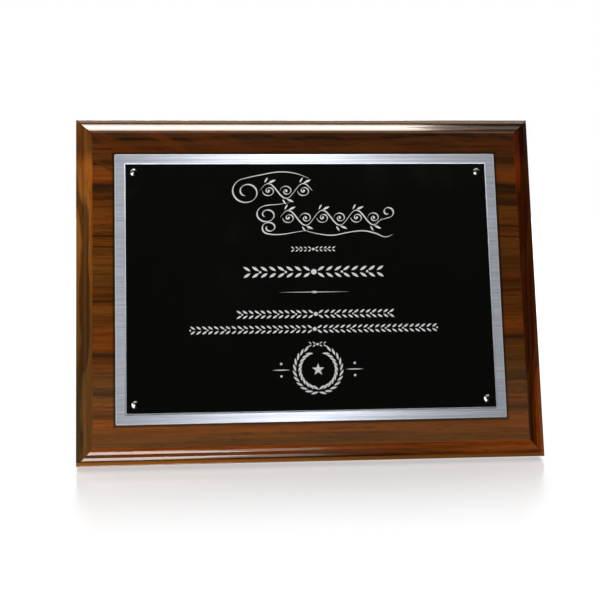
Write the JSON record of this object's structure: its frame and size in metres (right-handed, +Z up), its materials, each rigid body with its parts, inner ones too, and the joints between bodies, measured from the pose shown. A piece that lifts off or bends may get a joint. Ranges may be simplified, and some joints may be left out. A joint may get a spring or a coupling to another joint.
{
  "type": "wooden award plaque",
  "caption": "Landscape walnut award plaque with an ogee edge, a black name plate on a silver border plate, a keyhole hanger and a folding easel leg.",
  "frame": {"origin": "on the floor it stands on, under the middle of the whole object's box", "axes": "+X to the reader's right along the board's length, +Y towards the back and the leg, +Z up"},
  "size_m": [0.3048, 0.0818, 0.2247],
  "materials": {
    "walnut_lacquered": "gloss lacquered walnut",
    "silver_brushed": "satin brushed",
    "black_plate": "gloss black lacquer, engraved through to bright metal",
    "pin_bright": "diamond cut, bright",
    "adhesive_tape": "clear acrylic tape",
    "steel_zinc": "zinc plated",
    "brass_hinge": "satin brass plated steel",
    "walnut_leg": "satin stained walnut plywood",
    "rubber_black": "matt moulded rubber"
  },
  "bodies": {
    "board": {"board": "walnut_lacquered", "border_plate": "silver_brushed", "engraved_plate": "black_plate", "border_plate_tape": "adhesive_tape", "engraved_plate_tape": "adhesive_tape", "plate_pins": "pin_bright", "hanger_plate": "steel_zinc", "hanger_screws": "steel_zinc", "wall_bumpers": "rubber_black", "hinge_fixed_leaf": "brass_hinge", "hinge_pin": "brass_hinge", "board_hinge_screws": "brass_hinge"},
    "leg": {"hinge_moving_leaf": "brass_hinge", "easel_leg": "walnut_leg", "leg_foot": "rubber_black", "leg_hinge_screws": "brass_hinge"}
  },
  "joints": [
    {"name": "leg_hinge", "type": "hinge", "parent": "board", "child": "leg", "pos_m": [0, 0.01395, 0.14416], "axis": [1, 0, 0], "range_deg": [-24, 0]}
  ]
}
